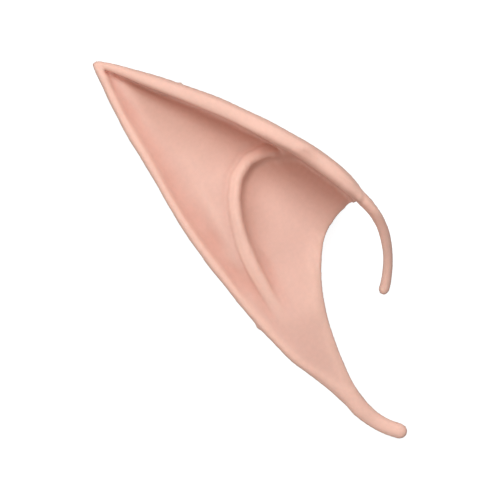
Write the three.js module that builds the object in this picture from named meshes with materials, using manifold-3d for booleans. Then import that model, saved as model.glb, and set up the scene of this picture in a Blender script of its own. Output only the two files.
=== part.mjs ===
// A pull-on pointed ear in moulded latex rubber, one hollow skin. Its rolled front rim runs on into a hook,
// its thinner rear rim runs on into a tail, a raised fold curves over its face, and the pocket between
// the front and back walls takes the top of the wearer's own ear.
// Millimetres. The ear lies on its back: X across, Y from the tail's end to the tip, Z up from the surface.

import * as THREE from "three";
import { mergeVertices } from "three/addons/utils/BufferGeometryUtils.js";
import Module from "manifold-3d";

// The whole ear.
const EAR_LENGTH = 122.4; // tail's end to tip
const EAR_BREADTH = 42.2; // rear edge to front edge, where it is broadest
const EAR_DEPTH = 16; // surface to the middle of the front rim, where the rim is highest
const WALL = 1.3; // rubber thickness of the front and back walls
const BACK_FULLNESS = 2.8; // 2 makes the back elliptical across, more makes it squarer
const REST_FLAT = 0.5; // depth of the round back that is pressed flat where it rests

// The rolled front rim and the hook that it becomes.
const RIM_WIDTH = 4.4;
const RIM_THICKNESS = 4.4;
const GROOVE_REACH = 0.5; // from the rim's inner side to the bottom of the groove beside it
const GROOVE_FALL = 2.4; // power of the curve by which the face falls into the groove: more is later and steeper
const HOOK_WIDTH = 2.7;
const HOOK_THICKNESS = 2.7;

// The thin rear rim and the tail that it becomes.
const REAR_RIM_WIDTH = 2.3;
const REAR_RIM_THICKNESS = 2.4;
const REAR_RIM_SOFTNESS = 0.75; // share of the rim's height up to which the face slopes to its crest
const VALLEY_REACH = 1.4; // from the rear rim's inner side to the bottom of the valley beside it
const TAIL_WIDTH = 4.7;
const TAIL_THICKNESS = 3.2;
const TIP_SHARE = 0.7; // most that one rim takes of the breadth, where the two meet in the tip

// The raised fold and the bowl inside it.
const FOLD_HEIGHT = 0.9;
const FOLD_INNER_WIDTH = 1.9; // crest to the foot of its steep side
const FOLD_OUTER_WIDTH = 2.9; // crest to the foot of its soft side
const BOWL_DROP = 2.1; // how far the bowl lies below the face outside the fold
const BOWL_SLOPE = 2.8; // run over which it drops
const SIDE_FOLD_HEIGHT = 0.4; // a second, faint swelling beside the fold
const SIDE_FOLD_OFFSET = 4.4; // from the fold's crest to the swelling's
const SIDE_FOLD_WIDTH = 1.8;
const FOLD_END_RUN = 1.0; // to either side of the front rim's inner edge, where the fold and the bowl end

// The free edge, where the wearer's own ear shows.
const LIP_DROP = 0.9; // the front wall turns down this far at its free edge
const LIP_WIDTH = 2.4;
const BACK_SETBACK = 7; // the back wall's free edge lies this much deeper in at the hook, less elsewhere

// The pocket.
const POCKET_SIDE = 0.4; // height of the pocket at its sides
const POCKET_ROUND = 8; // length over which its two ends are rounded

// Sections from the tail to the tip. Share of EAR_LENGTH: at. Shares of EAR_BREADTH: rear and front, the two
// edges. Shares of EAR_DEPTH: rearZ and frontZ at those edges, then valley, shoulder and groove on the face,
// and lift of the back. Share of RIM_WIDTH: rim. Below the hook, front lies past the free edge and is cut off.
const SECTIONS = [
  { at: 0.09, rear: -0.136, front: 0.08, rearZ: 0.16, valley: 0.17, shoulder: 0.17, groove: 0.16, frontZ: 0.16, lift: 0.09, rim: 0.4 },
  { at: 0.13, rear: -0.16, front: 0.11, rearZ: 0.2, valley: 0.26, shoulder: 0.27, groove: 0.25, frontZ: 0.2, lift: 0.0, rim: 0.4 },
  { at: 0.18, rear: -0.178, front: 0.17, rearZ: 0.28, valley: 0.35, shoulder: 0.36, groove: 0.33, frontZ: 0.3, lift: 0.0, rim: 0.45 },
  { at: 0.25, rear: -0.222, front: 0.27, rearZ: 0.4, valley: 0.46, shoulder: 0.48, groove: 0.46, frontZ: 0.46, lift: 0.0, rim: 0.5 },
  { at: 0.33, rear: -0.25, front: 0.46, rearZ: 0.51, valley: 0.55, shoulder: 0.6, groove: 0.56, frontZ: 0.62, lift: 0.0, rim: 0.55 },
  { at: 0.4, rear: -0.257, front: 0.66, rearZ: 0.57, valley: 0.57, shoulder: 0.67, groove: 0.57, frontZ: 0.84, lift: 0.0, rim: 0.62 },
  { at: 0.45, rear: -0.254, front: 0.738, rearZ: 0.59, valley: 0.55, shoulder: 0.69, groove: 0.5, frontZ: 0.97, lift: 0.0, rim: 0.72 },
  { at: 0.54, rear: -0.247, front: 0.716, rearZ: 0.59, valley: 0.54, shoulder: 0.68, groove: 0.43, frontZ: 1.0, lift: 0.0, rim: 1.0 },
  { at: 0.64, rear: -0.224, front: 0.616, rearZ: 0.55, valley: 0.5, shoulder: 0.6, groove: 0.35, frontZ: 0.9, lift: 0.0, rim: 0.98 },
  { at: 0.76, rear: -0.161, front: 0.462, rearZ: 0.47, valley: 0.43, shoulder: 0.49, groove: 0.28, frontZ: 0.71, lift: 0.01, rim: 0.92 },
  { at: 0.88, rear: -0.103, front: 0.262, rearZ: 0.41, valley: 0.37, shoulder: 0.4, groove: 0.25, frontZ: 0.51, lift: 0.1, rim: 0.79 },
  { at: 0.965, rear: -0.04, front: 0.098, rearZ: 0.37, valley: 0.35, shoulder: 0.35, groove: 0.3, frontZ: 0.4, lift: 0.2, rim: 0.5 },
  { at: 1.0, rear: -0.012, front: 0.014, rearZ: 0.36, valley: 0.35, shoulder: 0.35, groove: 0.35, frontZ: 0.36, lift: 0.27, rim: 0.38 },
];
const REAR_RIM_PLACE = 0.35; // how far along from the rear edge to the valley the rear rim's crest stands
const SHOULDER_PLACE = 0.32; // how far along from the valley to the groove the shoulder stands
const SHOULDER = 3; // which point of a section's profile the shoulder is
const LEAF_END = 0.983; // share of EAR_LENGTH where the face ends inside the tip
const POCKET_FROM = 0.18; // and where the pocket begins and ends
const POCKET_TO = 0.86;

// Where the rims' centre lines have their points, from the tip down, in shares of EAR_LENGTH.
const RIM_POINTS = [0.995, 0.965, 0.92, 0.87, 0.81, 0.75, 0.69, 0.63, 0.57, 0.51, 0.45];
const REAR_RIM_POINTS = [0.995, 0.965, 0.92, 0.85, 0.76, 0.67, 0.58, 0.49, 0.4, 0.32, 0.25];

// Centre lines below those points: x as a share of EAR_BREADTH, y of EAR_LENGTH, z of EAR_DEPTH, and size
// of the hook's or the tail's width and thickness.
const HOOK = [
  { x: 0.706, y: 0.4, z: 0.9, size: 1.0 },
  { x: 0.689, y: 0.364, z: 0.76, size: 0.94 },
  { x: 0.652, y: 0.335, z: 0.6, size: 0.92 },
  { x: 0.606, y: 0.31, z: 0.43, size: 0.92 },
  { x: 0.545, y: 0.286, z: 0.28, size: 0.95 },
  { x: 0.488, y: 0.268, z: 0.18, size: 1.0 },
  { x: 0.462, y: 0.262, z: 0.15, size: 1.0 },
];
const TAIL = [
  { x: -0.138, y: 0.2, z: 0.3, size: 0.8 },
  { x: -0.106, y: 0.147, z: 0.22, size: 1.0 },
  { x: -0.103, y: 0.106, z: 0.17, size: 1.0 },
  { x: -0.083, y: 0.069, z: 0.12, size: 0.9 },
  { x: -0.05, y: 0.041, z: 0.11, size: 0.85 },
  { x: -0.01, y: 0.018, z: 0.11, size: 0.82 },
];

// The fold's crest from the front rim, over its arch and down, in shares of EAR_BREADTH and EAR_LENGTH.
const FOLD = [
  { x: 0.545, y: 0.606 },
  { x: 0.43, y: 0.632 },
  { x: 0.33, y: 0.64 },
  { x: 0.22, y: 0.628 },
  { x: 0.13, y: 0.599 },
  { x: 0.06, y: 0.562 },
  { x: 0.005, y: 0.52 },
  { x: -0.04, y: 0.47 },
  { x: -0.075, y: 0.415 },
  { x: -0.1, y: 0.36 },
  { x: -0.115, y: 0.3 },
];
const FOLD_FADES_AT = 0.31; // share of EAR_LENGTH where the fold has faded out
const FOLD_FULL_AT = 0.46; // and where it has its full height

// The front wall's free edge from the rim to the tail, in the same shares. The back wall's lies deeper in, by
// back, a share of BACK_SETBACK; the one edge has become the other at high, a share of EAR_DEPTH.
const FREE_EDGE = [
  { x: 0.9, y: 0.438, back: 1.0, high: 0.4 },
  { x: 0.69, y: 0.438, back: 1.0, high: 0.4 },
  { x: 0.58, y: 0.438, back: 0.9, high: 0.4 },
  { x: 0.474, y: 0.435, back: 0.6, high: 0.36 },
  { x: 0.38, y: 0.421, back: 0.42, high: 0.3 },
  { x: 0.284, y: 0.392, back: 0.35, high: 0.3 },
  { x: 0.19, y: 0.35, back: 0.3, high: 0.28 },
  { x: 0.118, y: 0.309, back: 0.26, high: 0.26 },
  { x: 0.047, y: 0.253, back: 0.18, high: 0.22 },
  { x: 0.0, y: 0.204, back: 0.1, high: 0.18 },
  { x: -0.04, y: 0.155, back: 0.0, high: 0.15 },
  { x: -0.05, y: 0.106, back: 0.0, high: 0.12 },
];

// Fineness of the facets.
const STATIONS = 88; // sections along the ear
const REAR_STEPS = [2, 3]; // steps across the face from the rear edge to the rear rim's crest and the valley
const FACE_STEPS = 20; // steps from the valley to the groove
const RIM_STEPS = [6, 2]; // steps from the groove to the front rim's middle and the front edge
const FOLD_CROWDING = 6; // the steps across the face count the fold's crest as this much broader than it is
const FOLD_CROWDING_WIDTH = 2.6; // and lie closer together this far to either side of it
const ARCH_CROWDING = 5; // the same for the sections along the ear, at the top of the fold's arch
const ARCH_CROWDING_WIDTH = 4;
const BACK_STEPS = 12; // steps across the back
const POCKET_STATIONS = 28;
const POCKET_STEPS = 14;
const PROBE_REACHES = [0.6, 0.92]; // shares of WALL to the side at which the pocket's walls are measured
const PROBE_DIRECTIONS = 8; // in as many directions
const EDGE_STEP = WALL / 4; // step in which the pocket's sides are looked for, and the leaf's least depth
const CORD_SIDES = 12; // sides of the rims, the hook and the tail
const CORD_STEPS = 48; // steps along them
const CORD_END_RINGS = [0.98, 0.83, 0.5]; // where a round end has its rings, in shares of its reach
const LINE_STEPS = 36; // steps along the fold and the free edge
const HALVINGS = 30; // how closely a crowded place is found

const wasm = await Module();
wasm.setup();

const { lerp, clamp, smoothstep } = THREE.MathUtils;
const row = (steps, make) => Array.from({ length: steps + 1 }, (_, i) => make(i / steps));

// Value of a column at a place between a table's rows, counted in rows.
function between(rows, key, place) {
  const i = Math.min(Math.floor(place), rows.length - 2);
  return lerp(rows[i][key], rows[i + 1][key], place - i);
}

// Value of a column at a place along the ear: a smooth curve through the table's rows.
function column(key, at) {
  const last = SECTIONS.length - 1;
  const place = clamp(at, SECTIONS[0].at, SECTIONS[last].at);
  const above = SECTIONS.findIndex((section, i) => i > 0 && section.at >= place);
  const [a, b] = [SECTIONS[above - 1], SECTIONS[above]];
  const slope = (i) => {
    const [p, q] = [SECTIONS[Math.max(i - 1, 0)], SECTIONS[Math.min(i + 1, last)]];
    return (q[key] - p[key]) / (q.at - p.at);
  };
  const run = b.at - a.at;
  const t = (place - a.at) / run;
  const [t2, t3] = [t * t, t * t * t];
  return (
    (2 * t3 - 3 * t2 + 1) * a[key] +
    (t3 - 2 * t2 + t) * run * slope(above - 1) +
    (3 * t2 - 2 * t3) * b[key] +
    (t3 - t2) * run * slope(above)
  );
}

// The ear's measures at one height y, in millimetres, with the profile of its face as [x, z] points.
const sections = new Map();
function sectionAt(y) {
  if (!sections.has(y)) sections.set(y, measureSection(y));
  return sections.get(y);
}

function measureSection(y) {
  const read = (key, size) => column(key, y / EAR_LENGTH) * size;
  const rear = read("rear", EAR_BREADTH);
  const front = read("front", EAR_BREADTH);
  const breadth = front - rear;
  const rim = Math.min(read("rim", RIM_WIDTH), TIP_SHARE * breadth);
  const rearRim = Math.min(REAR_RIM_WIDTH, TIP_SHARE * breadth);
  const grooveX = front - Math.min(rim + GROOVE_REACH, breadth / 2);
  const valleyX = rear + Math.min(rearRim + VALLEY_REACH, (grooveX - rear) / 2);
  const rearZ = read("rearZ", EAR_DEPTH);
  const frontZ = read("frontZ", EAR_DEPTH);
  const profile = [
    [rear, rearZ],
    [lerp(rear, valleyX, REAR_RIM_PLACE), rearZ + (REAR_RIM_SOFTNESS * REAR_RIM_THICKNESS) / 2],
    [valleyX, read("valley", EAR_DEPTH)],
    [lerp(valleyX, grooveX, SHOULDER_PLACE), read("shoulder", EAR_DEPTH)],
    [grooveX, read("groove", EAR_DEPTH)],
    [Math.max(front - rim / 2, lerp(grooveX, front, 0.5)), frontZ],
    [front, frontZ],
  ];
  return { rear, front, rim, rearRim, rearZ, frontZ, lift: read("lift", EAR_DEPTH), profile };
}

// A smooth line in plan through a table's points, in millimetres, moved to its right by a distance.
function planLine(rows, rightwards = () => 0) {
  const curve = new THREE.SplineCurve(
    rows.map((r) => new THREE.Vector2(r.x * EAR_BREADTH, r.y * EAR_LENGTH)),
  );
  return row(LINE_STEPS, (t) => {
    const point = curve.getPoint(t);
    const along = curve.getTangent(t);
    const shift = rightwards(t * (rows.length - 1));
    return new THREE.Vector2(point.x + along.y * shift, point.y - along.x * shift);
  });
}

// Distance from a point to a line of points, positive on the line's left.
function signedDistance(line, x, y) {
  let nearest = Infinity;
  let side = 1;
  for (let i = 0; i + 1 < line.length; i++) {
    const [a, b] = [line[i], line[i + 1]];
    const [dx, dy] = [b.x - a.x, b.y - a.y];
    const t = clamp(((x - a.x) * dx + (y - a.y) * dy) / (dx * dx + dy * dy), 0, 1);
    const distance = Math.hypot(x - a.x - t * dx, y - a.y - t * dy);
    if (distance < nearest) {
      nearest = distance;
      side = Math.sign(dx * (y - a.y) - dy * (x - a.x)) || 1;
    }
  }
  return nearest * side;
}

const foldLine = planLine(FOLD);
const freeEdge = planLine(FREE_EDGE);
const backEdge = planLine(FREE_EDGE, (place) => BACK_SETBACK * between(FREE_EDGE, "back", place));

// A smooth hump of height 1 at distance 0 that ends at the given reach.
const hump = (distance, reach) =>
  Math.abs(distance) < reach ? (1 + Math.cos((Math.PI * distance) / reach)) / 2 : 0;

// Height of the face at a point: the section's profile, then the fold, the bowl and the free edge's lip.
function faceHeight(x, y, s = sectionAt(y)) {
  const place = clamp(x, s.rear, s.front);
  const above = s.profile.findIndex(([at], i) => i > 0 && at >= place);
  const [[xa, za], [xb, zb]] = [s.profile[above - 1], s.profile[above]];
  const past = above - 1 === SHOULDER ? ((place - xa) / (xb - xa)) ** GROOVE_FALL : smoothstep(place, xa, xb);
  const base = lerp(za, zb, past);

  const inwards = signedDistance(foldLine, x, y);
  const grown = smoothstep(y / EAR_LENGTH, FOLD_FADES_AT, FOLD_FULL_AT);
  const clearOfRim = smoothstep(s.front - s.rim - x, -FOLD_END_RUN, FOLD_END_RUN);
  const fold = FOLD_HEIGHT * hump(inwards, inwards > 0 ? FOLD_INNER_WIDTH : FOLD_OUTER_WIDTH);
  const sideFold = SIDE_FOLD_HEIGHT * hump(inwards + SIDE_FOLD_OFFSET, SIDE_FOLD_WIDTH);
  const bowl = BOWL_DROP * smoothstep(inwards, 0, BOWL_SLOPE);
  const toEdge = Math.abs(signedDistance(freeEdge, x, y));
  const lip = LIP_DROP * Math.max(0, 1 - toEdge / LIP_WIDTH) ** 2;
  return base + grown * clearOfRim * (fold + sideFold - bowl) - lip;
}

// Height of the back at a point: round from edge to edge, pressed flat where it rests.
function backHeight(x, y, s = sectionAt(y)) {
  const share = clamp((x - s.rear) / (s.front - s.rear), 0, 1);
  const edgeZ = lerp(s.rearZ, s.frontZ, share);
  const drop = (1 - Math.abs(2 * share - 1) ** BACK_FULLNESS) ** (1 / BACK_FULLNESS);
  const round = lerp(edgeZ, s.lift, drop);
  return (Math.max(0, round - REST_FLAT) * edgeZ) / (edgeZ - REST_FLAT);
}

// A ring of points from a row of points and the row that lies under or beside it.
const ringOf = (upper, lower) => [...upper, ...lower.reverse()];

// A solid through rings of points that all have the same count, its two ends closed.
function loft(rings) {
  const corners = [];
  const count = rings[0].length;
  for (let i = 1; i < rings.length; i++) {
    const [before, ring] = [rings[i - 1], rings[i]];
    for (let j = 0; j < count; j++) {
      const k = (j + 1) % count;
      const [a, b, c, d] = [before[j], before[k], ring[k], ring[j]];
      // Each four-sided facet is split along its shorter diagonal.
      if (a.distanceTo(c) < b.distanceTo(d)) corners.push(a, b, c, a, c, d);
      else corners.push(a, b, d, b, c, d);
    }
  }
  const [first, last] = [rings[0], rings[rings.length - 1]];
  for (let j = 0; j < count / 2 - 1; j++) {
    const [k, m, n] = [j + 1, count - 2 - j, count - 1 - j];
    corners.push(first[j], first[n], first[m], first[j], first[m], first[k]);
    corners.push(last[j], last[k], last[m], last[j], last[m], last[n]);
  }
  const merged = mergeVertices(new THREE.BufferGeometry().setFromPoints(corners), 1e-4);
  const index = merged.index.array;
  const faces = [];
  for (let i = 0; i < index.length; i += 3) {
    const [a, b, c] = [index[i], index[i + 1], index[i + 2]];
    if (a !== b && b !== c && c !== a) faces.push(a, b, c);
  }
  const solidOf = (triangles) =>
    new wasm.Manifold(
      new wasm.Mesh({
        numProp: 3,
        vertProperties: merged.attributes.position.array,
        triVerts: new Uint32Array(triangles),
      }),
    );
  const solid = solidOf(faces);
  return solid.volume() > 0 ? solid : solidOf(faces.reverse());
}

// Places from one value to another that crowd towards a centre.
function crowded(from, to, steps, centre, crowding, width) {
  const count = (x) => x + crowding * Math.tanh((x - centre) / width);
  return row(steps, (t) => {
    const wanted = lerp(count(from), count(to), t);
    let [low, high] = [from, to];
    for (let halving = 0; halving < HALVINGS; halving++) {
      const middle = (low + high) / 2;
      if (count(middle) < wanted) low = middle;
      else high = middle;
    }
    return (low + high) / 2;
  });
}

// Where the fold's crest, on its way down from its arch, passes the height y.
function crestX(y) {
  const below = foldLine.findIndex((p, i) => i > 0 && p.y < y && p.y < foldLine[i - 1].y);
  if (below < 0) return foldLine[foldLine.length - 1].x;
  const [a, b] = [foldLine[below - 1], foldLine[below]];
  return lerp(b.x, a.x, Math.min(1, (y - b.y) / (a.y - b.y)));
}

// The leaf-shaped solid between the face and the back, before it is hollowed.
function leaf() {
  const [begins, ends] = [SECTIONS[0].at * EAR_LENGTH, LEAF_END * EAR_LENGTH];
  const archY = Math.max(...foldLine.map((p) => p.y));
  const stations = crowded(begins, ends, STATIONS, archY, ARCH_CROWDING, ARCH_CROWDING_WIDTH);
  const rings = stations.map((y) => {
    const s = sectionAt(y);
    const [rear, rearCrest, valley, , groove, rimCrest, front] = s.profile.map(([x]) => x);
    const crowding = FOLD_CROWDING * (1 - smoothstep(y, archY, archY + 2 * ARCH_CROWDING_WIDTH));
    const places = [
      ...row(REAR_STEPS[0], (u) => lerp(rear, rearCrest, u)),
      ...row(REAR_STEPS[1], (u) => lerp(rearCrest, valley, u)).slice(1),
      ...crowded(valley, groove, FACE_STEPS, crestX(y), crowding, FOLD_CROWDING_WIDTH).slice(1),
      ...row(RIM_STEPS[0], (u) => lerp(groove, rimCrest, u)).slice(1),
      ...row(RIM_STEPS[1], (u) => lerp(rimCrest, front, u)).slice(1),
    ];
    const face = places.map((x) => new THREE.Vector3(x, y, faceHeight(x, y, s)));
    // The back's points crowd towards both edges, where it is round.
    const back = row(BACK_STEPS, (u) => {
      const x = lerp(s.rear, s.front, (1 - Math.cos(Math.PI * u)) / 2);
      return new THREE.Vector3(x, y, Math.min(backHeight(x, y, s), faceHeight(x, y, s) - EDGE_STEP));
    });
    return ringOf(face, back.slice(1, -1));
  });
  return loft(rings);
}

// The pocket between the walls: the face and the back moved inwards by the wall, measured square to them.
function pocket() {
  const probes = [[0, 0]];
  for (const reach of PROBE_REACHES) {
    for (let i = 0; i < PROBE_DIRECTIONS; i++) {
      const turn = (2 * Math.PI * i) / PROBE_DIRECTIONS;
      probes.push([reach * Math.cos(turn), reach * Math.sin(turn)]);
    }
  }
  const moved = probes.map(([u, v]) => ({
    dx: WALL * u,
    dy: WALL * v,
    dz: WALL * Math.sqrt(1 - u * u - v * v),
  }));
  const ceiling = (x, y) => Math.min(...moved.map((p) => faceHeight(x + p.dx, y + p.dy) - p.dz));
  const floor = (x, y) => Math.max(...moved.map((p) => backHeight(x + p.dx, y + p.dy) + p.dz));
  const begins = POCKET_FROM * EAR_LENGTH;
  const ends = POCKET_TO * EAR_LENGTH;
  const rings = [];
  for (let i = 0; i <= POCKET_STATIONS; i++) {
    const y = lerp(begins, ends, (i + 0.5) / (POCKET_STATIONS + 1));
    const s = sectionAt(y);
    const isOpen = (x) => ceiling(x, y) - floor(x, y) > POCKET_SIDE;
    const shoulderX = s.profile[SHOULDER][0];
    if (!isOpen(shoulderX)) continue;
    const [least, most] = [s.rear + WALL, s.front - WALL];
    let [from, to] = [shoulderX, shoulderX];
    while (from - EDGE_STEP > least && isOpen(from - EDGE_STEP)) from -= EDGE_STEP;
    while (to + EDGE_STEP < most && isOpen(to + EDGE_STEP)) to += EDGE_STEP;
    const inFromEnd = clamp(Math.min(y - begins, ends - y) / POCKET_ROUND, 0, 1);
    const opening = Math.sqrt(1 - (1 - inFromEnd) ** 2);
    const places = row(POCKET_STEPS, (u) => lerp(from, to, u));
    const level = (x, share) =>
      new THREE.Vector3(x, y, lerp(floor(x, y), ceiling(x, y), 0.5 + share * opening));
    rings.push(
      ringOf(
        places.map((x) => level(x, 0.5)),
        places.map((x) => level(x, -0.5)),
      ),
    );
  }
  return loft(rings);
}

// What lies past the free edges of both walls and is cut away.
function cutaway() {
  const high = row(LINE_STEPS, (t) => between(FREE_EDGE, "high", t * (FREE_EDGE.length - 1)));
  const level = (edge, share) =>
    ringOf(
      edge.map((p, i) => new THREE.Vector3(p.x, p.y, share(high[i]) * EAR_DEPTH)),
      edge.map((p, i) => new THREE.Vector3(p.x, -EAR_LENGTH, share(high[i]) * EAR_DEPTH)),
    );
  return loft([
    level(backEdge, () => -1),
    level(backEdge, () => 0),
    level(freeEdge, (share) => share),
    level(freeEdge, () => 2),
  ]);
}

// A round cord of changing size along points of { x, y, z, width, thickness }, with round ends.
function cord(points) {
  const path = new THREE.CatmullRomCurve3(points.map((p) => new THREE.Vector3(p.x, p.y, p.z)));
  const up = new THREE.Vector3(0, 0, 1);
  const ring = (t, past, scale) => {
    const size = (key) => between(points, key, t * (points.length - 1));
    const along = path.getTangent(t);
    const side = new THREE.Vector3().crossVectors(along, up).normalize();
    const rise = new THREE.Vector3().crossVectors(side, along);
    const centre = path.getPoint(t).addScaledVector(along, (past * size("width")) / 2);
    return Array.from({ length: CORD_SIDES }, (_, j) => {
      const turn = (2 * Math.PI * j) / CORD_SIDES;
      return centre
        .clone()
        .addScaledVector(side, (Math.cos(turn) * scale * size("width")) / 2)
        .addScaledVector(rise, (Math.sin(turn) * scale * size("thickness")) / 2);
    });
  };
  const ends = CORD_END_RINGS.map((past) => ({ past, scale: Math.sqrt(1 - past * past) }));
  return loft([
    ...ends.map((e) => ring(0, -e.past, e.scale)),
    ...row(CORD_STEPS, (t) => ring(t, 0, 1)),
    ...ends.reverse().map((e) => ring(1, e.past, e.scale)),
  ]);
}

// The points of a cord that carries on below a rim, kept above the surface that the ear lies on.
function cordBelow(points, width, thickness) {
  return points.map((p) => ({
    x: p.x * EAR_BREADTH,
    y: p.y * EAR_LENGTH,
    z: Math.max(p.z * EAR_DEPTH, (p.size * thickness) / 2),
    width: p.size * width,
    thickness: p.size * thickness,
  }));
}

// The front rim from the tip to the end of its hook.
function rimAndHook() {
  const rim = RIM_POINTS.map((at) => {
    const y = at * EAR_LENGTH;
    const s = sectionAt(y);
    const thickness = (RIM_THICKNESS * s.rim) / RIM_WIDTH;
    return { x: s.front - s.rim / 2, y, z: s.frontZ, width: s.rim, thickness };
  });
  return cord([...rim, ...cordBelow(HOOK, HOOK_WIDTH, HOOK_THICKNESS)]);
}

// The rear rim from the tip to the end of its tail.
function rearRimAndTail() {
  const rim = REAR_RIM_POINTS.map((at) => {
    const y = at * EAR_LENGTH;
    const s = sectionAt(y);
    const thickness = (REAR_RIM_THICKNESS * s.rearRim) / REAR_RIM_WIDTH;
    return { x: s.rear + s.rearRim / 2, y, z: s.rearZ, width: s.rearRim, thickness };
  });
  return cord([...rim, ...cordBelow(TAIL, TAIL_WIDTH, TAIL_THICKNESS)]);
}

// The whole moulding, centred over the origin with its lowest point at height 0.
function earGeometry() {
  const skin = leaf().subtract(pocket()).subtract(cutaway());
  const { vertProperties, triVerts } = skin.add(rimAndHook()).add(rearRimAndTail()).getMesh();
  const geometry = new THREE.BufferGeometry();
  geometry.setAttribute("position", new THREE.BufferAttribute(vertProperties, 3));
  geometry.setIndex(new THREE.BufferAttribute(triVerts, 1));
  geometry.computeBoundingBox();
  const { min, max } = geometry.boundingBox;
  geometry.translate(-(min.x + max.x) / 2, -(min.y + max.y) / 2, -min.z);
  geometry.computeVertexNormals();
  return geometry;
}

const latex = new THREE.MeshStandardMaterial({ color: 0xe9b9a6, roughness: 0.62, metalness: 0 });
const ear = new THREE.Mesh(earGeometry(), latex);
ear.name = "ear_moulding";

const elfEar = new THREE.Group();
elfEar.add(ear);

export default elfEar;
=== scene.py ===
"""Elf ear tip: a hollow pointed ear in moulded latex rubber, lying on its back on a light table.

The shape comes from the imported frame. Here it gets its fine surface: soft creases, the fold's flat crest, a
mould's parting ridge with a little flash, faint pleats under the rolled rim, and the look of matte latex.
Everything is in metres, with Z up from the surface that the ear lies on.
"""

import math

import bpy
import numpy as np
from bpy.props import FloatProperty, FloatVectorProperty, PointerProperty
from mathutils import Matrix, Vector


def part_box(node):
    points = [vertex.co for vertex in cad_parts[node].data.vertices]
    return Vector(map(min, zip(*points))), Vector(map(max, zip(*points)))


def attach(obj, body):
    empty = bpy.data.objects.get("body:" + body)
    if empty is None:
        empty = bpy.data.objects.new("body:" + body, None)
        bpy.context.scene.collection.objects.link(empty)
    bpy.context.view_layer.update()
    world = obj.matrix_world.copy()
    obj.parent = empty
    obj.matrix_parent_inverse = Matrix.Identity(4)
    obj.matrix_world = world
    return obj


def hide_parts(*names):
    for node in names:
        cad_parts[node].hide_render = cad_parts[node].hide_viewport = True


bl_info = {
    "name": "Elf Ear Tip",
    "version": (1, 0, 0),
    "blender": (4, 5, 0),
    "location": "3D View > Sidebar > Elf Ear",
    "description": "Makes a moulded latex elf ear tip and the studio that shows it",
    "category": "Object",
}

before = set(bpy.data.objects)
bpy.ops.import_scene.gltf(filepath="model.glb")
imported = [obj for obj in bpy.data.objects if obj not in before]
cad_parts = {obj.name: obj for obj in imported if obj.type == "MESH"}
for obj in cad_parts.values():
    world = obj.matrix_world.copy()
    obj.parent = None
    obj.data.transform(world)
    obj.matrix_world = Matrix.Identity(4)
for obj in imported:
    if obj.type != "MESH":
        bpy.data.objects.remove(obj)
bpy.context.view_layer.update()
EAR_NODE = "ear_moulding"
EAR_LOW, EAR_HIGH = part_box(EAR_NODE)
EAR_LENGTH = EAR_HIGH.y - EAR_LOW.y
EAR_BREADTH = EAR_HIGH.x - EAR_LOW.x
MM = 0.001

# Plan lines on the ear, as shares of its breadth and its length from the lower left corner of its box.
# The crease where the face meets the rolled front rim, from the tip to the hook.
RIM_CREASE = ((0.295, 0.968), (0.44, 0.873), (0.61, 0.753), (0.765, 0.648), (0.845, 0.573), (0.915, 0.473),
              (0.935, 0.443))
# The crease where the face meets the rear rim, from the tail up to the tip.
REAR_CREASE = ((0.06, 0.19), (0.07, 0.26), (0.085, 0.33), (0.095, 0.4), (0.1, 0.48), (0.105, 0.55),
               (0.125, 0.64),
               (0.155, 0.72), (0.2, 0.82), (0.25, 0.92), (0.275, 0.97))
# The crest of the raised fold, from the front rim over its arch and down.
FOLD_CREST = ((0.805, 0.606), (0.69, 0.632), (0.59, 0.64), (0.48, 0.628), (0.39, 0.599), (0.32, 0.562),
              (0.265, 0.52), (0.22, 0.47), (0.185, 0.415), (0.16, 0.36), (0.145, 0.31))
# A soft swelling between the fold and the rear rim, from the top down.
SWELLING = ((0.27, 0.7), (0.224, 0.6), (0.19, 0.52), (0.165, 0.44), (0.15, 0.38))
# Corners that are smoothed: where the fold meets the rim, and the upper end of the free edge.
CORNERS = ((0.82, 0.605), (0.83, 0.43))
# A scrap of flash on the rear rim and a nub on the front rim: the place in the same shares, and then the reach
# and the height in millimetres.
FLASH = ((0.0, 0.366, 2.0, 0.35), (0.585, 0.856, 1.0, 0.9))

# How often the ear's points are drawn towards their neighbours: to take the facets off, to soften the slopes of
# the face, to find what is sharpened, and to smooth the corners.
FACET_ROUNDS, SLOPE_ROUNDS, CREASE_ROUNDS, CORNER_ROUNDS = 56, 90, 6, 30
# Growing and shrinking in turn smooths the surface without thinning the wall.
GROW_AND_SHRINK = (0.5, -0.52)
PLEAT_SPACING = 1.7
SENSOR_WIDTH = 36.0
TABLE_SIZE = 3.0


def from_hex(code):
    """An sRGB hex colour as linear red, green and blue."""
    parts = (int(code[i:i + 2], 16) / 255 for i in (0, 2, 4))
    return tuple(c / 12.92 if c <= 0.04045 else ((c + 0.055) / 1.055) ** 2.4 for c in parts)


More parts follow.
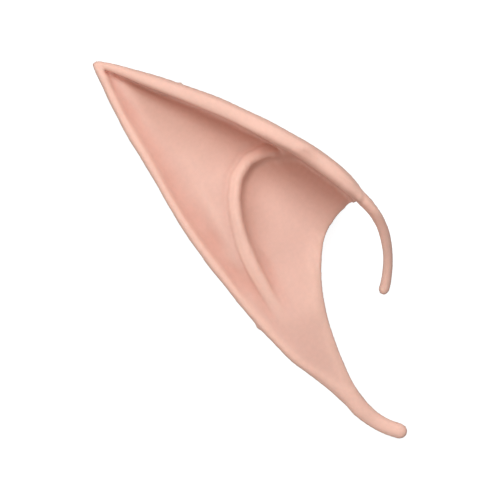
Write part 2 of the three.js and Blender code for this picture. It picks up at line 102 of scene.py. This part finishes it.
class EarSettings(bpy.types.PropertyGroup):
    fineness: FloatProperty(
        name="Surface fineness",
        description="Size of the facets that the fine surface is made of",
        default=0.42 * MM, min=0.2 * MM, unit="LENGTH", subtype="DISTANCE")
    crease: FloatProperty(
        name="Crease sharpness",
        description="How much crests and creases stand out from the smoothed surface",
        default=0.45, min=0.0)
    waviness: FloatProperty(
        name="Waviness",
        description="Height of the slow unevenness of the soft rubber",
        default=0.1 * MM, unit="LENGTH", subtype="DISTANCE")
    parting: FloatProperty(
        name="Parting ridge",
        description="Height of the ridge where the two halves of the mould met",
        default=0.12 * MM, unit="LENGTH", subtype="DISTANCE")
    fold_step: FloatProperty(
        name="Fold step",
        description="How far the raised fold's flat crest stands out from its two sides",
        default=0.3 * MM, unit="LENGTH", subtype="DISTANCE")
    swelling: FloatProperty(
        name="Swelling",
        description="Height of the soft swelling between the fold and the rear rim",
        default=0.55 * MM, unit="LENGTH", subtype="DISTANCE")
    rim_shoulder: FloatProperty(
        name="Rim shoulder",
        description="How much fuller than round the front rim is on its inner side",
        default=0.3 * MM, unit="LENGTH", subtype="DISTANCE")
    pleats: FloatProperty(
        name="Pleat depth",
        description="Depth of the faint pleats in the crease under the front rim",
        default=0.09 * MM, unit="LENGTH", subtype="DISTANCE")
    grain: FloatProperty(
        name="Grain size",
        description="Size of the fine matte grain that the mould leaves",
        default=0.5 * MM, unit="LENGTH", subtype="DISTANCE")
    tan: FloatVectorProperty(
        name="Latex colour",
        description="Colour of the latex on its open faces",
        default=from_hex("E9B8A8"), size=3, min=0.0, max=1.0, subtype="COLOR")
    # Painted shade: a darker, redder colour in creases and hollows, where shade falls.
    hollow_shade_tan: FloatVectorProperty(
        name="Hollow colour",
        description="Deeper colour of the latex in creases and hollows",
        default=from_hex("DFA391"), size=3, min=0.0, max=1.0, subtype="COLOR")
    # Painted shadow: a browner colour under the front rim and in the fold's arch, where they shade the face.
    rim_and_arch_shadow_tan: FloatVectorProperty(
        name="Thick latex colour",
        description="Browner colour where the latex is thickest, under the front rim and the fold's arch",
        default=from_hex("D09C8A"), size=3, min=0.0, max=1.0, subtype="COLOR")
    # Painted highlight: a paler colour on crests and rims, where the light falls fullest.
    crest_highlight_tan: FloatVectorProperty(
        name="Crest colour",
        description="Paler colour of the latex on crests and rims",
        default=from_hex("F5C5B3"), size=3, min=0.0, max=1.0, subtype="COLOR")


class StageSettings(bpy.types.PropertyGroup):
    table: FloatVectorProperty(
        name="Table colour",
        description="Colour of the light table that the ear lies on",
        default=from_hex("8C8C8C"), size=3, min=0.0, max=1.0, subtype="COLOR")
    view_width: FloatProperty(
        name="View width",
        description="Width of the table that the camera sees",
        default=0.126, unit="LENGTH", subtype="DISTANCE")
    camera_height: FloatProperty(
        name="Camera height",
        description="Height of the camera above the table",
        default=2.4, unit="LENGTH", subtype="DISTANCE")
    camera_turn: FloatProperty(
        name="Camera turn",
        description="Turn of the camera about the upright, which lays the tip to the upper left",
        default=math.radians(-39.9), unit="ROTATION", subtype="ANGLE")
    key_power: FloatProperty(
        name="Main light",
        description="Power of the soft main light above the top of the picture",
        default=5.8, unit="POWER")
    key_height: FloatProperty(
        name="Main light's height",
        description="Angle of the main light above the table",
        default=math.radians(50), unit="ROTATION", subtype="ANGLE")
    key_side: FloatProperty(
        name="Main light's side",
        description="Turn of the main light from the top of the picture towards its right",
        default=math.radians(8), unit="ROTATION", subtype="ANGLE")
    fill_power: FloatProperty(
        name="Side light",
        description="Power of the soft light beside the picture's left edge",
        default=3.8, unit="POWER")
    fill_height: FloatProperty(
        name="Side light's height",
        description="Angle of the side light above the table",
        default=math.radians(55), unit="ROTATION", subtype="ANGLE")
    fill_side: FloatProperty(
        name="Side light's side",
        description="Turn of the side light from the top of the picture towards its right",
        default=math.radians(-100), unit="ROTATION", subtype="ANGLE")
    light_size: FloatProperty(
        name="Lights' size",
        description="Width of each light's soft box",
        default=1.0, unit="LENGTH", subtype="DISTANCE")
    sky: FloatProperty(
        name="Surrounding light",
        description="Strength of the even light from above and all around",
        default=0.42)
    glow: FloatProperty(
        name="Table glow",
        description="Brightness of the light table that the ear lies on",
        default=0.9)


# Meshes.

def deselect():
    bpy.ops.object.select_all(action="DESELECT")


def choose(piece):
    deselect()
    piece.select_set(True)
    bpy.context.view_layer.objects.active = piece


def points_of(mesh, normals=False):
    """A mesh's points, or the directions in which they face, as rows of x, y and z."""
    rows = np.empty(len(mesh.vertices) * 3)
    if normals:
        mesh.vertex_normals.foreach_get("vector", rows)
    else:
        mesh.vertices.foreach_get("co", rows)
    return rows.reshape(-1, 3)


def edges_of(mesh):
    pairs = np.empty(len(mesh.edges) * 2, dtype=np.int32)
    mesh.edges.foreach_get("vertices", pairs)
    return pairs.reshape(-1, 2)


def blurred(values, edges, times, pulls=(0.5,), share=1.0):
    """The values of the points, each drawn towards the mean of its neighbours, by its share."""
    count = len(values)
    first, second = edges[:, 0], edges[:, 1]
    neighbours = np.bincount(edges.ravel(), minlength=count).astype(float)
    values = values.copy()
    for turn in range(times):
        pull = pulls[turn % len(pulls)] * share
        for k in range(values.shape[1]):
            total = np.bincount(first, values[second, k], count) + np.bincount(second, values[first, k], count)
            values[:, k] += pull * (total / neighbours - values[:, k])
    return values


def on_ear(shares):
    """Points in plan from shares of the ear's breadth and length."""
    return [(EAR_LOW.x + x * EAR_BREADTH, EAR_LOW.y + y * EAR_LENGTH) for x, y in shares]


def from_line(shares, points):
    """Millimetres that each point is in plan from a line on the ear, more than 0 on its left, and along it."""
    line = on_ear(shares)
    nearest = np.full(len(points), np.inf)
    side = np.ones(len(points))
    place = np.zeros(len(points))
    begun = 0.0
    for (ax, ay), (bx, by) in zip(line, line[1:]):
        dx, dy = bx - ax, by - ay
        length = math.hypot(dx, dy)
        t = np.clip(((points[:, 0] - ax) * dx + (points[:, 1] - ay) * dy) / length ** 2, 0, 1)
        distance = np.hypot(points[:, 0] - ax - t * dx, points[:, 1] - ay - t * dy)
        closer = distance < nearest
        nearest[closer] = distance[closer]
        left = dx * (points[:, 1] - ay) - dy * (points[:, 0] - ax) > 0
        side[closer] = np.where(left, 1.0, -1.0)[closer]
        place[closer] = begun + t[closer] * length
        begun += length
    return nearest * side / MM, place / MM


def from_place(shares, points):
    """Millimetres that each point is in plan from a place on the ear."""
    (x, y), = on_ear((shares,))
    return np.hypot(points[:, 0] - x, points[:, 1] - y) / MM


def ramp(values, start, end):
    """0 before the start, rising smoothly to 1 at the end."""
    t = np.clip((values - start) / (end - start), 0, 1)
    return t * t * (3 - 2 * t)


def hump(distance, reach):
    """1 at distance 0, falling smoothly to 0 at the reach."""
    return np.where(np.abs(distance) < reach, 0.5 + 0.5 * np.cos(np.pi * distance / reach), 0.0)


class ELFEAR_OT_moulding(bpy.types.Operator):
    """Make the latex ear with its fine surface"""

    bl_idname = "elfear.moulding"
    bl_label = "Latex ear"

    def execute(self, context):
        settings = context.scene.elf_ear
        ear = bpy.data.objects.new("latex_ear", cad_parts[EAR_NODE].data.copy())
        context.scene.collection.objects.link(ear)
        choose(ear)
        bpy.ops.object.mode_set(mode="EDIT")
        bpy.ops.mesh.select_all(action="SELECT")
        bpy.ops.mesh.remove_doubles(threshold=0.002 * MM)
        bpy.ops.object.mode_set(mode="OBJECT")
        even = ear.modifiers.new("even_skin", "REMESH")
        even.mode = "VOXEL"
        even.voxel_size = settings.fineness
        even.use_smooth_shade = True
        bpy.ops.object.modifier_apply(modifier=even.name)

        mesh = ear.data
        edges = edges_of(mesh)
        smooth = blurred(points_of(mesh), edges, FACET_ROUNDS, GROW_AND_SHRINK)
        smooth = blurred(smooth, edges, SLOPE_ROUNDS, share=self.softness(smooth))
        sharp = smooth + settings.crease * (smooth - blurred(smooth, edges, CREASE_ROUNDS))
        self.move(mesh, sharp)
        raised = sharp + self.relief(mesh, sharp, settings)[:, None] * points_of(mesh, normals=True)
        self.move(mesh, blurred(raised, edges, CORNER_ROUNDS, share=self.in_corners(sharp)))
        self.store_tones(mesh, edges)

        mesh.materials.clear()
        mesh.materials.append(latex(settings))
        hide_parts(EAR_NODE)
        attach(ear, "root")
        return {"FINISHED"}

    @staticmethod
    def move(mesh, points):
        """Moves the mesh's points, none of them below the table."""
        points = points.copy()
        points[:, 2] = np.maximum(points[:, 2], 0.0)
        mesh.vertices.foreach_set("co", points.ravel())
        mesh.update()

    # Below, all distances are millimetres in plan. From a crease, less than 0 is towards the face.

    @staticmethod
    def softness(points):
        """How much each point is smoothed: 1 on the slopes beside the fold and at its lower end, 0 at rims."""
        inwards, along = from_line(FOLD_CREST, points)
        from_rear, _ = from_line(REAR_CREASE, points)
        from_rim, _ = from_line(RIM_CREASE, points)
        slopes = ramp(-inwards, 2.4, 4.0) * (1 - ramp(-inwards, 9.0, 12.0))
        low_end = ramp(along, 42, 58) * (1 - ramp(np.abs(inwards), 5.0, 9.0))
        off_rims = ramp(-from_rear, 1.2, 2.8) * ramp(-from_rim, 2.5, 4.5)
        return np.maximum(slopes, low_end) * off_rims

    @staticmethod
    def in_corners(points):
        """How much each point is smoothed in the corners, which leaves the front rim as it is."""
        near = np.max([hump(from_place(corner, points), 4.5) for corner in CORNERS], axis=0)
        from_rim, _ = from_line(RIM_CREASE, points)
        return near * (1 - ramp(from_rim, 0.2, 1.0))

    def relief(self, mesh, points, settings):
        """How far each point stands out, in metres, for the fine shapes that the solid leaves out."""
        facing_up = points_of(mesh, normals=True)[:, 2]
        on_top = np.clip(2 * facing_up, 0, 1)
        off_table = np.clip(points[:, 2] / (2 * MM), 0, 1)
        from_rim, down_rim = from_line(RIM_CREASE, points)
        from_rear, _ = from_line(REAR_CREASE, points)

        face = settings.pleats * self.pleats(from_rim, down_rim)
        face += settings.rim_shoulder * self.rim_shoulder(from_rim, down_rim)
        face += settings.fold_step * self.fold_step(*from_line(FOLD_CREST, points), from_rim)
        face += settings.swelling * self.swelling(*from_line(SWELLING, points))

        # The mould's halves met along the outer sides, where the surface turns upright.
        outer_side = np.maximum(ramp(from_rim, 2.5, 3.5), ramp(from_rear, 1.0, 1.6))
        seam = hump(facing_up, 0.22) * outer_side * off_table
        ridge = settings.parting
        for share_x, share_y, reach, stands_out in FLASH:
            ridge = ridge + stands_out * MM * hump(from_place((share_x, share_y), points), reach)
        return settings.waviness * self.wave(points) * off_table + face * on_top + ridge * seam

    @staticmethod
    def wave(points):
        """A slow unevenness about 0, in waves 2 to 5 cm long."""
        x, y = points[:, 0] / MM, points[:, 1] / MM
        return (np.sin(x / 4.1 + 1.3 * np.sin(y / 7.3)) * np.sin(y / 5.7 + 0.7)
                + 0.6 * np.sin((x + y) / 2.9 + 2.0) * np.sin((x - 1.7 * y) / 6.1))

    @staticmethod
    def pleats(from_rim, down_rim):
        """Pleats across the crease under the front rim, in its lower half only."""
        return np.cos(2 * np.pi * down_rim / PLEAT_SPACING) * hump(from_rim + 1.6, 2.4) * ramp(down_rim, 42, 62)

    @staticmethod
    def rim_shoulder(from_rim, down_rim):
        """The front rim's fuller inner side, fullest beside the fold's arch and on towards the hook."""
        beside_arch = ramp(down_rim, 34, 48) * (1 - ramp(down_rim, 66, 74))
        return hump(from_rim - 0.7, 1.7) * (ramp(down_rim, 2, 8) + 2.2 * beside_arch)

    @staticmethod
    def fold_step(inwards, along, from_rim):
        """The fold's flat crest between two fine lines. Both fade at the front rim and low down."""
        crest = ramp(inwards, -2.6, -1.8) * (1 - ramp(inwards, 0.5, 1.4))
        lines = 0.5 * hump(inwards + 2.9, 0.9) + 0.9 * hump(inwards - 2.1, 1.4)
        return (crest - lines) * ramp(-from_rim, 0.2, 1.6) * (1 - ramp(along, 38, 62))

    @staticmethod
    def swelling(apart, along):
        return hump(apart, 3.4) * ramp(along, 0, 12) * (1 - ramp(along, 28, 38))

    def store_tones(self, mesh, edges):
        """Stores on the mesh what the material takes its painted shade, shadow and highlight from, blurred a
        little.
        """
        points = points_of(mesh)
        facing = points_of(mesh, normals=True)
        hollow = self.hollow(points, facing, edges)
        rim_and_arch_shadow = self.rim_and_arch_shadow(points) * ramp(facing[:, 2], 0.0, 0.3)
        for name, values, rounds in (("hollow", hollow, 16), ("rim_and_arch_shadow", rim_and_arch_shadow, 6)):
            stored = mesh.attributes.new(name, "FLOAT", "POINT")
            stored.data.foreach_set("value", blurred(values[:, None], edges, rounds)[:, 0])

    @staticmethod
    def hollow(points, facing, edges):
        """How deep each point lies in a hollow, which sets the painted shade in hollows and the painted
        highlight on crests: 0 on crests, 0.5 where it is flat and 1 in creases.
        """
        narrow, wide = (np.einsum("ij,ij->i", blurred(points, edges, rounds) - points, facing)
                        for rounds in (40, 300))
        depth = np.clip(0.5 + narrow / (0.9 * MM) + wide / (4.5 * MM), 0, 1)
        # The painted shade is strongest in the valley beside the rear rim.
        from_rear, _ = from_line(REAR_CREASE, points)
        in_valley = 0.45 + 0.55 * hump(from_rear + 1.5, 5)
        return np.where(depth > 0.5, 0.5 + (depth - 0.5) * in_valley, depth)

    @staticmethod
    def rim_and_arch_shadow(points):
        """Where the painted shadow falls: under the front rim and in the fold's arch."""
        from_rim, down_rim = from_line(RIM_CREASE, points)
        from_rear, _ = from_line(REAR_CREASE, points)
        inwards, along = from_line(FOLD_CREST, points)
        # From the arch on towards the hook, the painted shadow starts a little higher up the rim's inner side.
        upper_end = from_rim - 0.7 * ramp(down_rim, 36, 50)
        under_rim = (1 - ramp(-from_rim, 4.5, 15.5)) * (1 - ramp(upper_end, -0.2, 0.6)) * ramp(-from_rear, 1, 5)
        under_rim *= 0.74 + 0.22 * hump(from_rim + 1.2, 3.2)
        in_arch = 0.8 * ramp(inwards, 0.3, 1.5) * (1 - ramp(inwards, 2, 10)) * (1 - ramp(along, 20, 44))
        # The fold's crest is kept out of the painted shadow and stays pale.
        crest = 0.8 * hump(inwards + 1.0, 2.8) * ramp(along, 4, 8) * (1 - ramp(along, 16, 28))
        return (1 - (1 - under_rim) * (1 - in_arch)) * (1 - crest)


# Materials.

def add(tree, kind, inputs=None, **settings):
    """Adds a node with its settings, and fills its sockets with values or links."""
    made = tree.nodes.new(kind)
    for name, value in settings.items():
        setattr(made, name, value)
    for name, value in (inputs or {}).items():
        if isinstance(value, bpy.types.NodeSocket):
            tree.links.new(value, made.inputs[name])
        else:
            made.inputs[name].default_value = value
    return made


def start_material(name):
    material = bpy.data.materials.new(name)
    material.use_nodes = True
    material.node_tree.nodes.clear()
    return material, material.node_tree


def latex(settings):
    # Natural latex slush-moulded in plaster and dusted with powder: a soft matte skin with a faint sheen at
    # grazing angles, a fine grain from the mould, and light that glows a little way under its surface. Real
    # grain and pores are finer, so both are drawn as coarse as they need to be to show.
    material, tree = start_material("slush_moulded_latex")
    place = add(tree, "ShaderNodeTexCoord").outputs["Object"]
    hollow = add(tree, "ShaderNodeAttribute", attribute_name="hollow").outputs["Fac"]

    # Painted highlight on crests, painted shade in hollows, and painted shadow under the front rim and in the
    # fold's arch.
    deep = add(tree, "ShaderNodeMapRange", {"Value": hollow, "From Min": 0.5, "From Max": 0.95}).outputs[0]
    highlight_share = add(tree, "ShaderNodeMapRange", {"Value": hollow, "From Min": 0.5, "From Max": 0.2}).outputs[0]
    rim_and_arch_shadow = add(tree, "ShaderNodeAttribute", attribute_name="rim_and_arch_shadow").outputs["Fac"]
    base = (*settings.tan, 1)
    for share, tone in ((highlight_share, settings.crest_highlight_tan), (deep, settings.hollow_shade_tan), (rim_and_arch_shadow, settings.rim_and_arch_shadow_tan)):
        base = add(tree, "ShaderNodeMix", {0: share, 6: base, 7: (*tone, 1)}, data_type="RGBA").outputs[2]
    # The pigment isn't quite evenly mixed: clouds about 15 mm across, and specks of about 1 mm.
    clouds = add(tree, "ShaderNodeTexNoise", {"Vector": place, "Scale": 1 / (15 * MM), "Detail": 2.0})
    specks = add(tree, "ShaderNodeTexNoise", {"Vector": place, "Scale": 1 / (1.1 * MM), "Detail": 3.0})
    uneven = add(tree, "ShaderNodeMath", {0: clouds.outputs["Fac"], 1: specks.outputs["Fac"]}, operation="ADD")
    value = add(tree, "ShaderNodeMapRange",
                {"Value": uneven.outputs[0], "From Min": 0.7, "From Max": 1.3, "To Min": 0.965, "To Max": 1.035})
    colour = add(tree, "ShaderNodeHueSaturation", {"Color": base, "Value": value.outputs[0]})

    grain = add(tree, "ShaderNodeTexNoise", {"Vector": place, "Scale": 1 / settings.grain, "Detail": 4.0})
    pores = add(tree, "ShaderNodeTexVoronoi", {"Vector": place, "Scale": 1 / (2.2 * MM)})
    pits = add(tree, "ShaderNodeMapRange", {
        "Value": pores.outputs["Distance"], "From Min": 0.0, "From Max": 0.12, "To Min": -1.0, "To Max": 0.0})
    rough = add(tree, "ShaderNodeMapRange", {
        "Value": grain.outputs["Fac"], "From Min": 0.35, "From Max": 0.65, "To Min": 0.5, "To Max": 0.64})
    grained = add(tree, "ShaderNodeBump", {
        "Height": grain.outputs["Fac"], "Strength": 0.16, "Distance": 0.1 * MM}).outputs[0]
    bump = add(tree, "ShaderNodeBump", {
        "Height": pits.outputs[0], "Strength": 0.2, "Distance": 0.05 * MM, "Normal": grained})
    shader = add(tree, "ShaderNodeBsdfPrincipled", {
        "Base Color": colour.outputs[0], "Roughness": rough.outputs[0], "IOR": 1.52,
        "Subsurface Weight": 0.1, "Subsurface Radius": (1.0, 0.45, 0.3), "Subsurface Scale": 0.9 * MM,
        "Sheen Weight": 0.12, "Sheen Roughness": 0.4, "Normal": bump.outputs[0]})
    add(tree, "ShaderNodeOutputMaterial", {"Surface": shader.outputs[0]})
    return material


def light_table(settings):
    # Opal acrylic, matte and lit from below: an even white that leaves only a faint shadow beside the ear.
    material, tree = start_material("opal_light_table")
    place = add(tree, "ShaderNodeTexCoord").outputs["Object"]
    grain = add(tree, "ShaderNodeTexNoise", {"Vector": place, "Scale": 1 / (0.8 * MM), "Detail": 4.0})
    bump = add(tree, "ShaderNodeBump", {"Height": grain.outputs["Fac"], "Strength": 0.05, "Distance": 0.05 * MM})
    shader = add(tree, "ShaderNodeBsdfPrincipled", {
        "Base Color": (*settings.table, 1), "Roughness": 0.9, "Specular IOR Level": 0.2,
        "Emission Color": (1.0, 1.0, 1.0, 1), "Emission Strength": settings.glow, "Normal": bump.outputs[0]})
    add(tree, "ShaderNodeOutputMaterial", {"Surface": shader.outputs[0]})
    return material


class ELFEAR_OT_stage(bpy.types.Operator):
    """Lay the light table, set the soft lights and place the camera straight above the ear"""

    bl_idname = "elfear.stage"
    bl_label = "Table, lights and camera"

    def execute(self, context):
        settings = context.scene.elf_ear_stage
        deselect()
        bpy.ops.mesh.primitive_plane_add(size=TABLE_SIZE, location=(0, 0, 0))
        table = context.object
        table.name = "light_table"
        table.data.materials.append(light_table(settings))
        # The table's glow is for the camera alone: it doesn't light the ear from below.
        table.visible_diffuse = False
        table.visible_glossy = False

        turn = settings.camera_turn
        right = Vector((math.cos(turn), math.sin(turn), 0))
        up = Vector((-math.sin(turn), math.cos(turn), 0))
        ear = points_of(bpy.data.objects["latex_ear"].data)
        middle = Vector((0, 0, 0))
        for axis in (right, up):
            reach = ear @ np.array(axis)
            middle += axis * float(reach.max() + reach.min()) / 2
        bpy.ops.object.camera_add(location=middle + Vector((0, 0, settings.camera_height)),
                                  rotation=(0, 0, turn))
        camera = context.object
        camera.name = "camera_above"
        camera.data.sensor_width = SENSOR_WIDTH
        camera.data.lens = SENSOR_WIDTH * settings.camera_height / settings.view_width
        camera.data.clip_start, camera.data.clip_end = 0.05, 10.0
        context.scene.camera = camera

        # Two wide soft boxes: one above the top of the picture, and a weaker one beside its left edge.
        for name, power, height, side in (
            ("main_light", settings.key_power, settings.key_height, settings.key_side),
            ("side_light", settings.fill_power, settings.fill_height, settings.fill_side),
        ):
            flat = up * math.cos(side) + right * math.sin(side)
            place = flat * math.cos(height) + Vector((0, 0, math.sin(height)))
            self.soft_light(name, place, settings.light_size, power)
        world = bpy.data.worlds.new("studio")
        context.scene.world = world
        world.use_nodes = True
        tree = world.node_tree
        tree.nodes.clear()
        # Even white from above that falls off below the horizon.
        around = add(tree, "ShaderNodeTexCoord").outputs["Generated"]
        height = add(tree, "ShaderNodeSeparateXYZ", {"Vector": around}).outputs["Z"]
        strength = add(tree, "ShaderNodeMapRange", {
            "Value": height, "From Min": -0.3, "From Max": 0.3, "To Min": 0.1, "To Max": settings.sky})
        background = add(tree, "ShaderNodeBackground", {
            "Color": (1.0, 0.99, 0.98, 1), "Strength": strength.outputs[0]})
        add(tree, "ShaderNodeOutputWorld", {"Surface": background.outputs[0]})
        context.scene.view_settings.view_transform = "Standard"
        return {"FINISHED"}

    @staticmethod
    def soft_light(name, place, size, power):
        bpy.ops.object.light_add(type="AREA", location=place)
        light = bpy.context.object
        light.name = name
        light.rotation_euler = (-place).to_track_quat("-Z", "Y").to_euler()
        light.data.shape = "SQUARE"
        light.data.size = size
        light.data.energy = power


class ELFEAR_PT_panel(bpy.types.Panel):
    bl_idname = "ELFEAR_PT_panel"
    bl_label = "Elf Ear"
    bl_space_type = "VIEW_3D"
    bl_region_type = "UI"
    bl_category = "Elf Ear"

    def draw(self, context):
        for heading, settings, operator in (
            ("Ear", context.scene.elf_ear, ELFEAR_OT_moulding),
            ("Stage", context.scene.elf_ear_stage, ELFEAR_OT_stage),
        ):
            box = self.layout.box()
            box.label(text=heading)
            for name in settings.__annotations__:
                box.prop(settings, name)
            box.operator(operator.bl_idname)


CLASSES = (EarSettings, StageSettings, ELFEAR_OT_moulding, ELFEAR_OT_stage, ELFEAR_PT_panel)


def register():
    for cls in CLASSES:
        bpy.utils.register_class(cls)
    bpy.types.Scene.elf_ear = PointerProperty(type=EarSettings)
    bpy.types.Scene.elf_ear_stage = PointerProperty(type=StageSettings)


def unregister():
    del bpy.types.Scene.elf_ear_stage
    del bpy.types.Scene.elf_ear
    for cls in reversed(CLASSES):
        bpy.utils.unregister_class(cls)


def main():
    register()
    bpy.ops.elfear.moulding()
    bpy.ops.elfear.stage()


if __name__ == "__main__":
    main()
